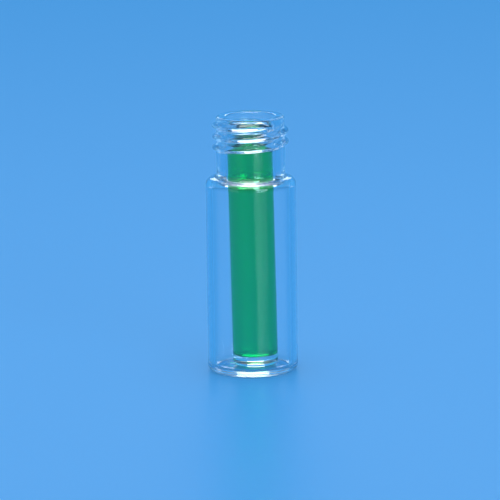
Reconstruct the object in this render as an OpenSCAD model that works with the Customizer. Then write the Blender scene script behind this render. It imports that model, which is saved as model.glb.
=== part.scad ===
// A screw-neck glass sample vial that holds a flat-bottomed glass insert,
// which is filled with liquid sample almost to its rim.
// Origin: on the axis of the vial, at the level that it stands on. +Z is up. Millimetres.

/* [Vial body] */
// Height of the vial from the bench to its rim
vial_h = 32.8; // [28:0.1:45]
// Outside diameter of the body
body_d = 11.5; // [10.5:0.1:16]
// Thickness of the body wall
wall = 0.8; // [0.5:0.05:1.2]
// Height of the floor inside the vial above the bench
floor_t = 0.7; // [0.6:0.1:2]
// Radius of the outer edge of the base
heel_r = 0.85; // [0.2:0.05:1]
// Radius between the inside wall and the floor
inside_heel_r = 0.6; // [0.3:0.1:1.5]
// Depth of the hollow pressed into the underside
punt_depth = 0.25; // [0.1:0.05:0.4]
// Width of the flat ring that the vial stands on
stand_w = 1.0; // [0.6:0.1:1.5]

/* [Shoulder and neck] */
// Length of the neck from its foot to the rim
neck_l = 7.2; // [6.3:0.1:9]
// Outside diameter of the neck between the screw ridges
neck_d = 8.7; // [8.3:0.1:9.2]
// Radius of the outside of the shoulder where it leaves the body
shoulder_r = 1.0; // [0.6:0.1:1.4]
// Radius of the hollow between the shoulder and the neck
neck_foot_r = 0.6; // [0.5:0.05:1.3]
// Radius of the inside of the shoulder where it leaves the wall
inside_shoulder_r = 0.6; // [0.3:0.1:0.8]
// Radius where the inside of the shoulder turns up into the bore
throat_r = 1.2; // [0.6:0.1:1.4]
// Radius of the outer edge of the rim
rim_r = 0.25; // [0.2:0.05:0.6]
// Radius of the inner edge of the rim
mouth_r = 0.3; // [0.2:0.05:0.5]

/* [Screw ridge] */
// Diameter over the crests of the screw ridge
ridge_d = 9.72; // [9.4:0.02:10.4]
// Rise of the ridge in one turn
ridge_pitch = 1.4; // [1.25:0.01:1.5]
// Turns from where the ridge starts to where it ends
ridge_turns = 2.7; // [2:0.05:3]
// Width of the ridge across its foot
ridge_w = 1.38; // [1.1:0.02:1.5]
// Depth below the rim at which the crest of the ridge starts
ridge_drop = 0.64; // [0.4:0.02:1]
// Direction in which the ridge starts, anticlockwise from +X
ridge_start = -45; // [-180:5:180]
// Angle over which the ridge rises from the neck at its upper end
ridge_run_in = 60; // [30:5:120]
// Angle over which the ridge sinks into the neck at its lower end
ridge_run_out = 100; // [30:5:120]

/* [Insert] */
// Outside diameter of the insert, which the bore of the neck follows
insert_d = 5.74; // [5.2:0.02:6.24]
// Play between the insert and the bore of the neck, across both
insert_play = 0.36; // [0.35:0.01:1]
// Thickness of the insert's wall
insert_wall = 0.5; // [0.35:0.05:0.8]
// Depth of the insert's rim below the vial's rim
insert_drop = 1.0; // [0.2:0.1:2]
// Thickness of the insert's floor
insert_floor_t = 1.35; // [0.8:0.05:2]
// Radius of the outer edge of the insert's foot
insert_foot_r = 0.7; // [0.3:0.05:0.9]
// Radius between the insert's bore and its floor
well_r = 0.5; // [0.3:0.1:1.2]
// Distance of the insert's foot from the axis of the vial, to the +X side
insert_shift = 0.34; // [0:0.02:0.8]
// Gap left at the rim, where the insert leans on the neck
lean_gap = 0.04; // [0.02:0.01:0.1]

/* [Sample] */
// Depth of the sample's edge below the rim of the insert
sample_drop = 2.8; // [1.6:0.1:20]
// Height that the sample creeps up the glass at its edge
meniscus = 0.6; // [0.3:0.05:1]

/* [Hidden] */

glass_colour = [0.80, 0.90, 0.98, 0.35];
sample_colour = [0.02, 0.56, 0.42, 0.85];

round_fn = 96;                  // facets of a previewed circle
ridge_step = 7.5;               // degrees between two sections of the ridge
ridge_sides = 8;                // straight sides across the crest of the ridge
ridge_bury = 0.12;              // depth of the ridge's foot inside the neck
lap = 0.01;                     // overlap of the areas that make one section

body_r = body_d / 2;
inside_r = body_r - wall;
neck_r = neck_d / 2;
bore_d = insert_d + insert_play;
bore_r = bore_d / 2;
neck_z = vial_h - neck_l;
stand_r = body_r - heel_r - stand_w;

insert_r = insert_d / 2;
insert_bore_r = insert_r - insert_wall;
insert_h = vial_h - insert_drop - floor_t;
insert_flat_r = insert_r - insert_foot_r;

// The insert stands shifted to +X and its rim leans to -X, until it all but meets the bore
lean_reach = insert_shift + insert_play / 2 - lean_gap;
lean = asin(lean_reach / insert_h);
lean_lift = insert_flat_r * sin(lean) + insert_foot_r * (1 - cos(lean));

// Height over which a wide part closes in to a narrow one by a rounding and a hollow
function step_rise(wide_r, narrow_r, round_r, hollow_r) =
    let (radii = round_r + hollow_r, over = min(0, wide_r - narrow_r - radii))
    sqrt(radii * radii - over * over);

// Half section of a solid bottle form, from its bottom at z = 0 up to top_z:
// a wide part with a rounded heel, which closes in to a narrow part at foot_z
module bottle_section(wide_r, narrow_r, edge_r, foot_z, top_z, round_r, hollow_r) {
    round_z = foot_z - step_rise(wide_r, narrow_r, round_r, hollow_r);
    round_c = [wide_r - round_r, round_z];
    hollow_c = [narrow_r + hollow_r, foot_z];
    ledge = [[round_c.x, round_z + round_r], [hollow_c.x, foot_z - hollow_r]];
    has_ledge = ledge[0].x > ledge[1].x;

    square([wide_r - edge_r, edge_r + lap]);
    translate([wide_r - edge_r, edge_r]) circle(edge_r);
    translate([0, edge_r]) square([wide_r, round_z - edge_r]);
    translate(round_c) circle(round_r);
    difference() {
        polygon([
            [0, round_z - lap],
            [round_c.x, round_z - lap],
            round_c,
            each has_ledge ? ledge : [],
            hollow_c,
            [narrow_r, foot_z],
            [narrow_r, foot_z + lap],
            [0, foot_z + lap]
        ]);
        translate(hollow_c) circle(hollow_r);
    }
    translate([0, foot_z]) square([narrow_r, top_z - foot_z]);
}

// Half section of the glass that the rounded rim takes off the square end of the neck
module rim_waste() {
    difference() {
        translate([neck_r - rim_r, vial_h - rim_r]) square(rim_r + lap);
        translate([neck_r - rim_r, vial_h - rim_r]) circle(rim_r);
    }
    difference() {
        translate([bore_r - lap, vial_h - mouth_r]) square([mouth_r + lap, mouth_r + lap]);
        translate([bore_r + mouth_r, vial_h - mouth_r]) circle(mouth_r);
    }
}

module glass_body() {
    punt_r = (stand_r * stand_r + punt_depth * punt_depth) / (2 * punt_depth);
    rotate_extrude($fn = round_fn) difference() {
        bottle_section(body_r, neck_r, heel_r, neck_z, vial_h, shoulder_r, neck_foot_r);
        translate([0, floor_t]) bottle_section(
            inside_r, bore_r, inside_heel_r, neck_z - floor_t,
            vial_h - floor_t + lap, inside_shoulder_r, throat_r
        );
        rim_waste();
        translate([0, punt_depth - punt_r]) circle(punt_r, $fn = 8 * round_fn);
    }
}

// Share of its full height that the ridge has at an angle along it
function ridge_growth(turned, whole) =
    let (from_end = min(turned / ridge_run_in, (whole - turned) / ridge_run_out, 1))
    pow(sin(90 * from_end), 2);

// Highest level of the ridge's buried foot at which the rounded rim still covers it
foot_top_z = vial_h - rim_r + sqrt(pow(rim_r, 2) - pow(rim_r - ridge_bury, 2)) - lap;

// One section of the ridge, as [radius, height] points: a wave with its crest at crest_z.
// Close under the rim its upper flank has less room, and is steeper.
function ridge_section(crest_z, growth) =
    let (
        foot_r = neck_r - ridge_bury,
        rise = (ridge_d / 2 - foot_r) * growth,
        below = ridge_w / 2,
        above = min(below, foot_top_z - crest_z)
    )
    [
        [foot_r - ridge_bury, crest_z - below],
        for (i = [0 : ridge_sides])
            let (share = 2 * i / ridge_sides - 1)
            [
                foot_r + rise * (1 + cos(180 * share)) / 2,
                crest_z + share * (share < 0 ? below : above)
            ],
        [foot_r - ridge_bury, crest_z + above]
    ];

// A right-handed ridge that winds down the neck from its start under the rim
module screw_ridge() {
    whole = 360 * ridge_turns;
    steps = ceil(whole / ridge_step);
    count = ridge_sides + 3;
    points = [
        for (s = [0 : steps])
            let (
                turned = whole * s / steps,
                a = ridge_start - turned,
                crest_z = vial_h - ridge_drop - ridge_pitch * turned / 360
            )
            for (p = ridge_section(crest_z, ridge_growth(turned, whole)))
                [p[0] * cos(a), p[0] * sin(a), p[1]]
    ];
    sides = [
        for (s = [0 : steps - 1], i = [0 : count - 1])
            let (
                j = (i + 1) % count,
                here = s * count,
                next = here + count
            )
            each [[here + i, next + i, here + j], [here + j, next + i, next + j]]
    ];
    first = [for (i = [0 : count - 1]) i];
    last = [for (i = [count - 1 : -1 : 0]) steps * count + i];
    polyhedron(points, [first, each sides, last], convexity = 8);
}

module vial() {
    color(glass_colour) union() {
        glass_body();
        screw_ridge();
    }
}

// Stands what is drawn upright on the axis where the leaning insert stands
module on_the_lean() {
    translate([insert_shift, 0, floor_t + lean_lift]) rotate([0, -lean, 0]) children();
}

// Half section of a round-ended rod with a flat foot
module rod_section(r, edge_r, length) {
    square([r - edge_r, edge_r + lap]);
    translate([r - edge_r, edge_r]) circle(edge_r);
    translate([0, edge_r]) square([r, length - edge_r]);
}

module insert() {
    edge_r = insert_wall / 2;
    color(glass_colour) on_the_lean() rotate_extrude($fn = round_fn) {
        difference() {
            rod_section(insert_r, insert_foot_r, insert_h - edge_r);
            translate([0, insert_floor_t]) rod_section(insert_bore_r, well_r, insert_h);
        }
        translate([insert_bore_r + edge_r, insert_h - edge_r]) circle(edge_r);
    }
}

// The sample fills the insert's bore. Its surface is level, and curls up to the glass
module sample() {
    edge_l = insert_h - sample_drop;
    curl_r = (insert_bore_r * insert_bore_r + meniscus * meniscus) / (2 * meniscus);
    edge_z = floor_t + lean_lift + edge_l * cos(lean);
    edge_x = insert_shift - edge_l * sin(lean);
    color(sample_colour) difference() {
        on_the_lean() translate([0, 0, insert_floor_t]) rotate_extrude($fn = round_fn)
            rod_section(insert_bore_r, well_r, edge_l - insert_floor_t + meniscus);
        translate([edge_x, 0, edge_z - meniscus + curl_r]) sphere(curl_r, $fn = round_fn);
    }
}

vial();
insert();
sample();
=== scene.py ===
"""A screw-neck sample vial of clear glass, open, with a glass insert full of green sample.

Sizes are in millimetres until a mesh is made; Blender is in metres.
"""

import math

import bpy
import numpy as np
from mathutils import Matrix, Vector


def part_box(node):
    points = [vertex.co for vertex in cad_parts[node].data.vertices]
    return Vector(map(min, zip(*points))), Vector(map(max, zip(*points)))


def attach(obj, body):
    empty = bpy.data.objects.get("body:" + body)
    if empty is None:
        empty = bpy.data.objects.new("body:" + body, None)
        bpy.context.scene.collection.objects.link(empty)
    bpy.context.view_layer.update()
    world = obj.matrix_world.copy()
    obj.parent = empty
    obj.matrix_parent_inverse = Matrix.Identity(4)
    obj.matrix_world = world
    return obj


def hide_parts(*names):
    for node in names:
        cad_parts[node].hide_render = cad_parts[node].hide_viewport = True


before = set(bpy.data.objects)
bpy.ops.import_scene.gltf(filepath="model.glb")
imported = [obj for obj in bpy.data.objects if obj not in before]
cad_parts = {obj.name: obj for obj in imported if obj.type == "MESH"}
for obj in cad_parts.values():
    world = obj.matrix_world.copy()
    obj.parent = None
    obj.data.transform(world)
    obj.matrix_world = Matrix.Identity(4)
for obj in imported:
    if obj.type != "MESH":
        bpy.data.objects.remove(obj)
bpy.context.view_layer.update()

MM = 0.001

# ---------------------------------------------------------------- driving sizes

VIAL_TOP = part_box("vial")[1] / MM
VIAL_H = VIAL_TOP.z
BODY_R = VIAL_TOP.x
WALL = 0.8
FLOOR_T = 0.7
HEEL_R = 0.85
INSIDE_HEEL_R = 0.6
PUNT_DEPTH = 0.25
STAND_W = 1.0

NECK_L = 7.2
NECK_R = 4.35
BORE_R = 3.05
SHOULDER_R = 1.0
NECK_FOOT_R = 0.6
INSIDE_SHOULDER_R = 0.6
THROAT_R = 1.2
RIM_R = 0.25
MOUTH_R = 0.3

RIDGE_R = 4.86
RIDGE_PITCH = 1.4
RIDGE_TURNS = 2.7
RIDGE_W = 1.38
RIDGE_DROP = 0.64
RIDGE_START = -45.0     # degrees anticlockwise from +X
RIDGE_RUN_IN = 60.0     # degrees over which it rises from the neck
RIDGE_RUN_OUT = 100.0   # degrees over which it sinks back
RIDGE_BURY = 0.12
RIDGE_BLEND = 0.1

INSERT_PLAY = 0.36
INSERT_WALL = 0.5
INSERT_DROP = 1.0
INSERT_FLOOR_T = 1.35
INSERT_FOOT_R = 0.7
WELL_R = 0.5
INSERT_SHIFT = 0.34
LEAN_GAP = 0.04

SAMPLE_DROP = 2.8
MENISCUS = 0.6
WETTING = 0.02          # how far the sample reaches into the glass it wets

ROUND = 288             # facets round the vial
INSERT_ROUND = 192      # facets round the insert and the sample
ARC_STEP = 6.0          # degrees between two points of a rounding
PUNT_STEP = 0.5         # degrees between two points of the hollow underneath
NECK_ROW = 0.06         # height of one row of facets on the neck
WALL_ROW = 1.0          # and of one on a straight wall
LEVEL_ROW = 0.5         # width of one row of facets on a level floor
STAND_ROW = 0.25        # on the ring that the vial stands on
SURFACE_ROW = 0.08      # and on the surface of the sample

# ---------------------------------------------------------------- derived sizes

INSIDE_R = BODY_R - WALL
STAND_R = BODY_R - HEEL_R - STAND_W
NECK_Z = VIAL_H - NECK_L
PUNT_R = (STAND_R**2 + PUNT_DEPTH**2) / (2 * PUNT_DEPTH)
RIM_FOOT_Z = VIAL_H - RIM_R

INSERT_R = BORE_R - INSERT_PLAY / 2
INSERT_BORE_R = INSERT_R - INSERT_WALL
INSERT_H = VIAL_H - INSERT_DROP - FLOOR_T
INSERT_FLAT_R = INSERT_R - INSERT_FOOT_R
LEAN = math.asin((INSERT_SHIFT + INSERT_PLAY / 2 - LEAN_GAP) / INSERT_H)
LEAN_LIFT = INSERT_FLAT_R * math.sin(LEAN) + INSERT_FOOT_R * (1 - math.cos(LEAN))

SURFACE_EDGE = INSERT_H - SAMPLE_DROP
SURFACE_CURL_R = (INSERT_BORE_R**2 + MENISCUS**2) / (2 * MENISCUS)
SURFACE_CENTRE = Vector((
    INSERT_SHIFT - SURFACE_EDGE * math.sin(LEAN),
    0,
    FLOOR_T + LEAN_LIFT + SURFACE_EDGE * math.cos(LEAN) - MENISCUS + SURFACE_CURL_R,
))

# ---------------------------------------------------------------- sections and lathes


def arc(centre, radius, start, end, step=ARC_STEP):
    """Points [r, z] along an arc, between two angles in degrees."""
    count = max(2, math.ceil(abs(end - start) / step))
    angles = np.radians(np.linspace(start, end, count + 1))
    r, z = centre
    return [(r + radius * math.cos(a), z + radius * math.sin(a)) for a in angles]


def line(start, end, step):
    """Points [r, z] between two points, without the two."""
    count = max(1, math.ceil(math.dist(start, end) / step))
    shares = np.linspace(0, 1, count + 1)[1:-1]
    return [tuple(np.add(start, np.subtract(end, start) * s)) for s in shares]


def bottle(wide_r, narrow_r, edge_r, floor_z, round_r, hollow_r):
    """Outline of a bottle form, from the foot of its rounded heel to the foot of its neck."""
    radii = round_r + hollow_r
    over = min(0.0, wide_r - narrow_r - radii)
    round_z = NECK_Z - math.sqrt(radii**2 - over**2)
    turn = math.degrees(math.acos(-over / radii))
    heel = arc((wide_r - edge_r, floor_z + edge_r), edge_r, -90, 0)
    shoulder = arc((wide_r - round_r, round_z), round_r, 0, turn)
    hollow = arc((narrow_r + hollow_r, NECK_Z), hollow_r, 180 + turn, 180)
    return heel + line(heel[-1], shoulder[0], WALL_ROW) + shoulder + hollow


def vial_section():
    """Half section of the vial: underside, wall, shoulder, neck and rim, then back down inside."""
    half_punt = math.degrees(math.asin(STAND_R / PUNT_R))
    punt = arc((0, PUNT_DEPTH - PUNT_R), PUNT_R, 90, 90 - half_punt, PUNT_STEP)
    outside = bottle(BODY_R, NECK_R, HEEL_R, 0, SHOULDER_R, NECK_FOOT_R)
    rim = arc((NECK_R - RIM_R, RIM_FOOT_Z), RIM_R, 0, 90)
    mouth = arc((BORE_R + MOUTH_R, VIAL_H - MOUTH_R), MOUTH_R, 90, 180)
    inside = bottle(INSIDE_R, BORE_R, INSIDE_HEEL_R, FLOOR_T, INSIDE_SHOULDER_R, THROAT_R)
    return (
        punt
        + line(punt[-1], outside[0], STAND_ROW)
        + outside
        + line(outside[-1], rim[0], NECK_ROW)
        + rim
        + mouth
        + line(mouth[-1], inside[-1], LEVEL_ROW)
        + inside[::-1]
        + line(inside[0], (0, FLOOR_T), LEVEL_ROW)
        + [(0, FLOOR_T)]
    )


def rod(radius, edge_r, floor_z):
    """Outline of a rod's rounded foot, from its middle to its side."""
    side = arc((radius - edge_r, floor_z + edge_r), edge_r, -90, 0)
    return [(0, floor_z)] + line((0, floor_z), side[0], LEVEL_ROW) + side


def insert_section():
    """Half section of the insert: foot, wall and rounded rim, then back down to its floor."""
    lip_r = INSERT_WALL / 2
    outside = rod(INSERT_R, INSERT_FOOT_R, 0)
    lip = arc((INSERT_R - lip_r, INSERT_H - lip_r), lip_r, 0, 180)
    inside = rod(INSERT_BORE_R, WELL_R, INSERT_FLOOR_T)
    return (
        outside
        + line(outside[-1], lip[0], WALL_ROW)
        + lip
        + line(lip[-1], inside[-1], WALL_ROW)
        + inside[::-1]
    )


def sample_section():
    """Half section of the sample. The rings over its side lie on its surface once it is levelled."""
    radius = INSERT_BORE_R + WETTING
    side = rod(radius, WELL_R + WETTING, INSERT_FLOOR_T - WETTING)
    edge = (radius, SURFACE_EDGE)
    middle = (0, SURFACE_EDGE)
    return side + line(side[-1], edge, WALL_ROW) + [edge] + line(edge, middle, SURFACE_ROW) + [middle]


def lathe(section, segments):
    """Points and faces of the closed form that a half section turns. It starts and ends on the axis."""
    angles = np.linspace(0, 2 * math.pi, segments, endpoint=False)
    x, y = np.cos(angles), np.sin(angles)
    rings = [np.stack([r * x, r * y, np.full(segments, z)], 1) for r, z in section[1:-1]]
    bottom, top = (np.array([[0, 0, section[end][1]]]) for end in (0, -1))
    points = np.concatenate([bottom, *rings, top])
    last = len(points) - 1
    faces = []
    for j in range(segments):
        k = (j + 1) % segments
        faces.append((0, 1 + k, 1 + j))
        for start in range(1, last - segments, segments):
            faces.append((start + j, start + k, start + segments + k, start + segments + j))
        faces.append((last, last - segments + j, last - segments + k))
    return points, faces


def mesh_object(name, points, faces):
    """A smooth object whose mesh has these points, given in millimetres."""
    mesh = bpy.data.meshes.new(name)
    mesh.from_pydata(points * MM, [], faces)
    mesh.shade_smooth()
    obj = bpy.data.objects.new(name, mesh)
    bpy.context.scene.collection.objects.link(obj)
    return obj


def lean_over(points):
    """The same points, moved from an upright insert on the axis to where the insert leans."""
    turn = np.array(Matrix.Rotation(-LEAN, 3, "Y"))
    return points @ turn.T + (INSERT_SHIFT, 0, FLOOR_T + LEAN_LIFT)


def level_surface(points):
    """The sample's points with those of its surface slid along the insert, on to a level hollow ball."""
    up = np.array((-math.sin(LEAN), 0, math.cos(LEAN)))
    centre = np.array(SURFACE_CENTRE)
    on_top = (points - lean_over(np.zeros((1, 3)))) @ up > SURFACE_EDGE - WETTING / 2
    away = points[on_top] - centre
    along = away @ up
    slide = -along - np.sqrt(along**2 - (away**2).sum(1) + SURFACE_CURL_R**2)
    points[on_top] += slide[:, None] * up
    return points


# ---------------------------------------------------------------- node helpers


def new_tree(name, kind, inputs, outputs):
    """A node group of that kind with named sockets, each given as (name, socket type, default or None)."""
    tree = bpy.data.node_groups.new(name, kind)
    for in_out, sockets in (("INPUT", inputs), ("OUTPUT", outputs)):
        for label, socket_type, value in sockets:
            socket = tree.interface.new_socket(label, in_out=in_out, socket_type=socket_type)
            if value is not None:
                socket.default_value = value
    return tree, tree.nodes.new("NodeGroupInput").outputs, tree.nodes.new("NodeGroupOutput").inputs


def add(tree, kind, inputs=(), **settings):
    """A new node, with its settings, and its inputs linked from sockets or set to values."""
    node = tree.nodes.new(kind)
    for setting, value in settings.items():
        setattr(node, setting, value)
    for key, value in dict(inputs).items():
        if isinstance(value, bpy.types.NodeSocket):
            tree.links.new(value, node.inputs[key])
        else:
            node.inputs[key].default_value = value
    return node


def maths(tree, operation, *values):
    """The result of a Math node on these sockets or numbers."""
    return add(tree, "ShaderNodeMath", enumerate(values), operation=operation).outputs[0]


# A Mix node has a row of sockets for each kind of value. Its colours are at these places.
MIX_SHARE, MIX_FIRST, MIX_SECOND = 0, 6, 7
MIX_RESULT = 2


def mixed_colours(tree, share, first, second):
    """The colour that lies this share of the way from the first to the second."""
    inputs = {MIX_SHARE: share, MIX_FIRST: first, MIX_SECOND: second}
    return add(tree, "ShaderNodeMix", inputs, data_type="RGBA").outputs[MIX_RESULT]


# ---------------------------------------------------------------- the screw ridge


def screw_ridge_tree():
    """Raises one rounded ridge from the outside of a neck, winding down it right-handed from its start."""
    radii = ("Neck Radius", "Foot Radius", "Crest Radius")
    lengths = ("Foot Top", "Start Height", "Pitch", "Width", "Blend")
    numbers = ("Turns", "Start Angle", "Run In", "Run Out")
    geometry = ("Geometry", "NodeSocketGeometry", None)
    glass = ("Glass", "NodeSocketMaterial", None)
    sizes = [(label, "NodeSocketFloat", 0.0) for label in radii + lengths + numbers]
    tree, given, result = new_tree("Screw ridge", "GeometryNodeTree", [geometry, *sizes, glass], [geometry])

    def m(operation, *values):
        return maths(tree, operation, *values)

    position = add(tree, "GeometryNodeInputPosition").outputs[0]
    x, y, z = add(tree, "ShaderNodeSeparateXYZ", {0: position}).outputs
    radius = m("SQRT", m("ADD", m("MULTIPLY", x, x), m("MULTIPLY", y, y)))
    angle = m("DEGREES", m("ARCTAN2", y, x))

    # How far along the ridge, in degrees, its nearest turn passes this point
    whole = m("MULTIPLY", given["Turns"], 360.0)
    first_pass = m("FLOORED_MODULO", m("SUBTRACT", given["Start Angle"], angle), 360.0)
    drop = m("SUBTRACT", given["Start Height"], z)
    level_turned = m("DIVIDE", m("MULTIPLY", drop, 360.0), given["Pitch"])
    nearest_turn = m("ROUND", m("DIVIDE", m("SUBTRACT", level_turned, first_pass), 360.0))
    last_turn = m("FLOOR", m("DIVIDE", m("SUBTRACT", whole, first_pass), 360.0))
    turn = m("MINIMUM", m("MAXIMUM", nearest_turn, 0.0), last_turn)
    turned = m("ADD", first_pass, m("MULTIPLY", turn, 360.0))

    # The crest's height there, and the ridge's height over its foot, which is less at both ends
    fallen = m("MULTIPLY", given["Pitch"], m("DIVIDE", turned, 360.0))
    crest_z = m("SUBTRACT", given["Start Height"], fallen)
    share_in = m("DIVIDE", turned, given["Run In"])
    share_out = m("DIVIDE", m("SUBTRACT", whole, turned), given["Run Out"])
    from_end = m("MINIMUM", m("MINIMUM", share_in, share_out), 1.0)
    growth = m("SINE", m("RADIANS", m("MULTIPLY", from_end, 90.0)))
    full_rise = m("SUBTRACT", given["Crest Radius"], given["Foot Radius"])
    rise = m("MULTIPLY", full_rise, m("MULTIPLY", growth, growth))

    # Across the ridge it is one wave, whose upper flank has less room close under the rim
    over_crest = m("SUBTRACT", z, crest_z)
    below = m("DIVIDE", given["Width"], 2.0)
    above = m("MINIMUM", below, m("SUBTRACT", given["Foot Top"], crest_z))
    is_above = m("GREATER_THAN", over_crest, 0.0)
    half = m("ADD", below, m("MULTIPLY", is_above, m("SUBTRACT", above, below)))
    share = m("MINIMUM", m("ABSOLUTE", m("DIVIDE", over_crest, half)), 1.0)
    wave = m("DIVIDE", m("ADD", 1.0, m("COSINE", m("MULTIPLY", share, math.pi))), 2.0)
    is_outside = m("GREATER_THAN", radius, given["Neck Radius"])
    on_ridge = m("MULTIPLY", m("LESS_THAN", share, 1.0), is_outside)
    ridge_r = m("MULTIPLY", on_ridge, m("ADD", given["Foot Radius"], m("MULTIPLY", rise, wave)))

    raised_r = m("SMOOTH_MAX", radius, ridge_r, given["Blend"])
    growth_r = m("DIVIDE", raised_r, radius)
    placed = add(tree, "ShaderNodeCombineXYZ", {
        "X": m("MULTIPLY", x, growth_r),
        "Y": m("MULTIPLY", y, growth_r),
        "Z": z,
    })
    moved = add(tree, "GeometryNodeSetPosition", {
        "Geometry": given["Geometry"],
        "Selection": on_ridge,
        "Position": placed.outputs[0],
    })
    realized = add(tree, "GeometryNodeRealizeInstances", {0: moved.outputs[0]})
    finished = add(tree, "GeometryNodeSetMaterial", {
        "Geometry": realized.outputs[0],
        "Material": given["Glass"],
    })
    tree.links.new(finished.outputs[0], result[0])
    return tree


def run_tree(obj, tree, values):
    """Runs a geometry tree on an object with these named inputs, and keeps the result as its plain mesh."""
    identifiers = {s.name: s.identifier for s in tree.interface.items_tree if s.in_out == "INPUT"}
    modifier = obj.modifiers.new(tree.name, "NODES")
    modifier.node_group = tree
    for label, value in values.items():
        modifier[identifiers[label]] = value
    depsgraph = bpy.context.evaluated_depsgraph_get()
    mesh = bpy.data.meshes.new_from_object(obj.evaluated_get(depsgraph))
    obj.modifiers.remove(modifier)
    obj.data = mesh
    mesh.name = obj.name
    mesh.shade_smooth()


# ---------------------------------------------------------------- finishes

GLASS_IOR = 1.5
LIQUID_IOR = 1.333
GLASS_RELIEF = 0.005            # full depth of the relief of drawn tube
VIAL_TINT = (0.97, 0.99, 1.0)
INSERT_TINT = (0.98, 1.0, 0.99)
SAMPLE_AT_FOOT = (0.0, 0.74, 0.165)
SAMPLE_AT_RIM = (0.0, 0.76, 0.075)

# Relief of the drawn tube: sizes in millimetres, depths as shares of the full relief
TUBE_RELIEF = {
    "Line Width": 0.5,
    "Line Depth": 0.3,
    "Wave Size": 3.0,
    "Wave Depth": 1.0,
    "Smear": 0.03,              # roughness of the heaviest smear
}
LINE_STRETCH = 0.02             # share of its frequency across the tube that a draw line has along it
LINE_DETAIL = 3.0
WAVE_DETAIL = 1.0
SMEAR_SIZE = 4.0
SMEAR_DETAIL = 4.0
SMEAR_NOISE = (0.5, 0.75)       # strength of the noise at which a smear starts and is full


def drawn_glass_group():
    """Relief of drawn tube: fine lines along it, soft waves where it was flamed, and faint smears."""
    inputs = [(label, "NodeSocketFloat", value) for label, value in TUBE_RELIEF.items()]
    outputs = [("Height", "NodeSocketFloat", None), ("Roughness", "NodeSocketFloat", None)]
    tree, given, result = new_tree("Drawn glass", "ShaderNodeTree", inputs, outputs)
    place = add(tree, "ShaderNodeTexCoord").outputs["Object"]
    stretch = {"Vector": place, "Scale": (1.0, 1.0, LINE_STRETCH)}
    along = add(tree, "ShaderNodeMapping", stretch).outputs[0]

    def noise(vector, size, detail):
        scale = maths(tree, "DIVIDE", 1 / MM, size)
        settings = {"Vector": vector, "Scale": scale, "Detail": detail}
        return add(tree, "ShaderNodeTexNoise", settings).outputs["Fac"]

    lines = maths(tree, "MULTIPLY", noise(along, given["Line Width"], LINE_DETAIL), given["Line Depth"])
    waves = maths(tree, "MULTIPLY", noise(place, given["Wave Size"], WAVE_DETAIL), given["Wave Depth"])
    tree.links.new(maths(tree, "ADD", lines, waves), result["Height"])
    smear = add(tree, "ShaderNodeMapRange", {
        "Value": noise(place, SMEAR_SIZE, SMEAR_DETAIL),
        "From Min": SMEAR_NOISE[0],
        "From Max": SMEAR_NOISE[1],
        "To Min": 0.0,
        "To Max": given["Smear"],
    })
    tree.links.new(smear.outputs[0], result["Roughness"])
    return tree


def surface_material(name, settings):
    """A material with these settings on its one Principled surface, with its tree and that surface."""
    material = bpy.data.materials.new(name)
    material.use_nodes = True
    tree = material.node_tree
    surface = tree.nodes["Principled BSDF"]
    for label, value in settings.items():
        surface.inputs[label].default_value = value
    return material, tree, surface


def glass_material(name, drawn_glass, tint):
    """Clear glass with the relief of drawn tube."""
    settings = {"Base Color": (*tint, 1), "Transmission Weight": 1.0, "IOR": GLASS_IOR}
    material, tree, surface = surface_material(name, settings)
    drawn = add(tree, "ShaderNodeGroup", node_tree=drawn_glass)
    for label, value in TUBE_RELIEF.items():
        drawn.inputs[label].default_value = value
    bump = add(tree, "ShaderNodeBump", {
        "Strength": 1.0,
        "Distance": GLASS_RELIEF * MM,
        "Height": drawn.outputs["Height"],
    })
    tree.links.new(bump.outputs[0], surface.inputs["Normal"])
    tree.links.new(drawn.outputs["Roughness"], surface.inputs["Roughness"])
    return material


def sample_material(name):
    """Clear green watery liquid, a little bluer towards the foot."""
    settings = {"Transmission Weight": 1.0, "IOR": LIQUID_IOR, "Roughness": 0.0}
    material, tree, surface = surface_material(name, settings)
    place = add(tree, "ShaderNodeTexCoord").outputs["Object"]
    height = add(tree, "ShaderNodeSeparateXYZ", {0: place}).outputs["Z"]
    span = {"Value": height, "From Min": 0.0, "From Max": VIAL_H * MM}
    up = add(tree, "ShaderNodeMapRange", span).outputs[0]
    colour = mixed_colours(tree, up, (*SAMPLE_AT_FOOT, 1), (*SAMPLE_AT_RIM, 1))
    tree.links.new(colour, surface.inputs["Base Color"])
    return material


# ---------------------------------------------------------------- the vial


drawn_glass = drawn_glass_group()
vial_finish = glass_material("Vial glass", drawn_glass, VIAL_TINT)
insert_finish = glass_material("Insert glass", drawn_glass, INSERT_TINT)

vial = mesh_object("vial_glass", *lathe(vial_section(), ROUND))
run_tree(vial, screw_ridge_tree(), {
    "Neck Radius": (BORE_R + MOUTH_R) * MM,
    "Foot Radius": (NECK_R - RIDGE_BURY) * MM,
    "Crest Radius": RIDGE_R * MM,
    "Foot Top": (RIM_FOOT_Z + math.sqrt(RIM_R**2 - (RIM_R - RIDGE_BURY) ** 2)) * MM,
    "Start Height": (VIAL_H - RIDGE_DROP) * MM,
    "Pitch": RIDGE_PITCH * MM,
    "Width": RIDGE_W * MM,
    "Blend": RIDGE_BLEND * MM,
    "Turns": RIDGE_TURNS,
    "Start Angle": RIDGE_START,
    "Run In": RIDGE_RUN_IN,
    "Run Out": RIDGE_RUN_OUT,
    "Glass": vial_finish,
})

insert_points, insert_faces = lathe(insert_section(), INSERT_ROUND)
insert = mesh_object("insert_glass", lean_over(insert_points), insert_faces)
insert.data.materials.append(insert_finish)

sample_points, sample_faces = lathe(sample_section(), INSERT_ROUND)
sample = mesh_object("green_sample", level_surface(lean_over(sample_points)), sample_faces)
sample.data.materials.append(sample_material("Green sample"))

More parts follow.
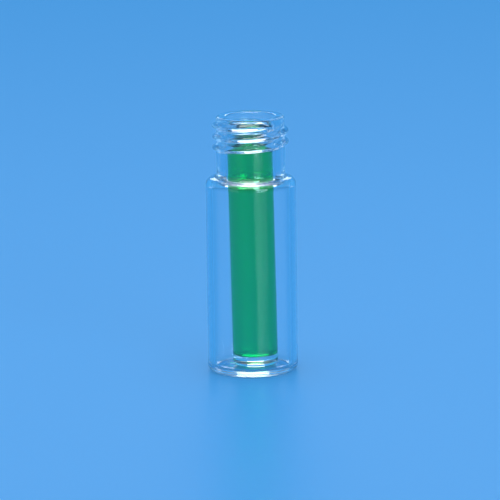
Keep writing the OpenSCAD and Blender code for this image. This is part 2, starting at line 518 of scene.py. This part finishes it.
for piece, node, finish_slot in (
    (vial, "vial", "vial_glass"),
    (insert, "insert", "insert_glass"),
    (sample, "sample", "green_sample"),
):
    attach(piece, "root")
    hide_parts(node)

# ---------------------------------------------------------------- floor

PALE_BLUE = (0.07, 0.39, 0.88)
FLOOR_SIZE = 4.0        # metres
FLOOR_ALBEDO = 0.65     # share of the pale blue that the floor throws back
FLOOR_GLOW = 0.45       # share of the floor's colour that is plain glow
FLOOR_ROUGHNESS = 0.38
FLOOR_IOR = 1.2


def seen_colour(tree, colour, shader, share):
    """Mixes a plain glowing colour into a shader, for what the camera sees directly or in glass."""
    rays = add(tree, "ShaderNodeLightPath").outputs
    seen = maths(tree, "MAXIMUM", rays["Is Camera Ray"], rays["Is Glossy Ray"])
    seen = maths(tree, "MAXIMUM", seen, rays["Is Transmission Ray"])
    glow = add(tree, "ShaderNodeEmission", {"Color": (*colour, 1), "Strength": 1.0}).outputs[0]
    mix = add(tree, "ShaderNodeMixShader", {0: maths(tree, "MULTIPLY", seen, share), 1: shader, 2: glow})
    return mix.outputs[0]


def floor_material(name):
    """Satin pale blue, part of it plain glow, so that it looks even from every side."""
    settings = {
        "Base Color": (*(FLOOR_ALBEDO * channel for channel in PALE_BLUE), 1),
        "Roughness": FLOOR_ROUGHNESS,
        "IOR": FLOOR_IOR,
    }
    material, tree, surface = surface_material(name, settings)
    shader = seen_colour(tree, PALE_BLUE, surface.outputs[0], FLOOR_GLOW)
    tree.links.new(shader, tree.nodes["Material Output"].inputs["Surface"])
    return material


bpy.ops.mesh.primitive_plane_add(size=FLOOR_SIZE)
floor = bpy.context.object
floor.name = "floor"
floor.data.materials.append(floor_material("Floor"))

# ---------------------------------------------------------------- studio round the vial

HORIZON = (0.045, 0.25, 0.62)  # what the far floor looks like
DIM = (0.02, 0.05, 0.1)
SIDE_WALL = (0.1, 0.2, 0.3)
CEILING = (0.7, 0.8, 0.95)

# Colours from the horizon to overhead, each as (degrees above the horizon, colour)
UP_FROM_HORIZON = ((0, HORIZON), (4, PALE_BLUE))
BEHIND = (*UP_FROM_HORIZON, (20, PALE_BLUE), (26, DIM), (44, DIM), (48, CEILING))
AROUND = (
    *UP_FROM_HORIZON,
    (5, PALE_BLUE),
    (8, DIM),
    (20, DIM),
    (24, SIDE_WALL),
    (44, SIDE_WALL),
    (48, CEILING),
)
BEHIND_SPREAD = (0.4, 0.7)      # share of the way to straight behind where that wall starts and is full


def rising_colours(tree, height, stops):
    """A colour that follows the height, which is 0 at the horizon and 1 overhead."""
    ramp = add(tree, "ShaderNodeValToRGB", {"Fac": height})
    elements = ramp.color_ramp.elements
    elements.remove(elements[0])
    for degrees, colour in stops:
        stop = elements.new(math.sin(math.radians(degrees)))
        stop.color = (*colour, 1)
    elements.remove(elements[-1])
    return ramp.outputs["Color"]


world = bpy.data.worlds.new("Studio")
bpy.context.scene.world = world
world.use_nodes = True
studio = world.node_tree
direction = add(studio, "ShaderNodeTexCoord").outputs["Generated"]
_, backward, rise = add(studio, "ShaderNodeSeparateXYZ", {0: direction}).outputs
is_behind = add(studio, "ShaderNodeMapRange", {
    "Value": backward,
    "From Min": BEHIND_SPREAD[0],
    "From Max": BEHIND_SPREAD[1],
}, interpolation_type="SMOOTHSTEP").outputs[0]
walls = rising_colours(studio, rise, AROUND), rising_colours(studio, rise, BEHIND)
studio.links.new(mixed_colours(studio, is_behind, *walls), studio.nodes["Background"].inputs["Color"])

# ---------------------------------------------------------------- lamps, places and sizes in metres

VIAL_FOOT = (0, 0, 0)
VIAL_MIDDLE = (0, 0, 0.016)
WHITE = (1, 1, 1)
WINDOW_BLUE = (0.55, 0.9, 1.0)
FILL_BLUE = (0.5, 0.9, 1.0)


def soft_lamp(name, place, target, size, radiance, colour):
    """A rectangular soft lamp that faces a target. Only its light and its reflections are seen."""
    data = bpy.data.lights.new(name, "AREA")
    data.shape = "RECTANGLE"
    data.size, data.size_y = size
    data.color = colour
    data.energy = radiance * math.pi * size[0] * size[1]
    lamp = bpy.data.objects.new(name, data)
    lamp.location = place
    lamp.rotation_euler = (Vector(target) - Vector(place)).to_track_quat("-Z", "Y").to_euler()
    lamp.visible_camera = False
    bpy.context.scene.collection.objects.link(lamp)


soft_lamp("overhead", (0, 0, 0.5), VIAL_FOOT, (0.3, 0.3), 5.5, WHITE)
soft_lamp("front right", (0.28, -0.53, 0.15), VIAL_MIDDLE, (0.3, 0.25), 7.5, WINDOW_BLUE)
soft_lamp("front left", (-0.45, -0.4, 0.19), VIAL_MIDDLE, (0.3, 0.3), 1.0, FILL_BLUE)
soft_lamp("behind", (0, 0.7, 0.28), VIAL_MIDDLE, (0.4, 0.17), 2.5, WHITE)

# ---------------------------------------------------------------- camera

SENSOR_WIDTH = 36.0     # mm
CAMERA_FOCAL = 393.1    # mm
CAMERA_REACH = 0.694    # metres
CAMERA_CLIP = 0.05      # metres
CAMERA_RISE = math.radians(10.95)
CAMERA_ROLL = math.radians(-0.71)
CAMERA_AIM = Vector((-0.218, 0, 15.5)) * MM

camera_data = bpy.data.cameras.new("camera")
camera_data.lens = CAMERA_FOCAL
camera_data.sensor_width = SENSOR_WIDTH
camera_data.clip_start = CAMERA_CLIP
camera = bpy.data.objects.new("camera", camera_data)
bpy.context.scene.collection.objects.link(camera)
camera.location = CAMERA_AIM + CAMERA_REACH * Vector((0, -math.cos(CAMERA_RISE), math.sin(CAMERA_RISE)))
facing = (CAMERA_AIM - camera.location).to_track_quat("-Z", "Y").to_matrix()
camera.rotation_euler = (facing @ Matrix.Rotation(CAMERA_ROLL, 3, "Z")).to_euler()

scene = bpy.context.scene
scene.camera = camera
scene.view_settings.view_transform = "Standard"

# Light passes through many walls of glass before it is done
MOST_BOUNCES = 128
MOST_REFLECTIONS = 64
scene.cycles.max_bounces = MOST_BOUNCES
scene.cycles.transmission_bounces = MOST_BOUNCES
scene.cycles.glossy_bounces = MOST_REFLECTIONS
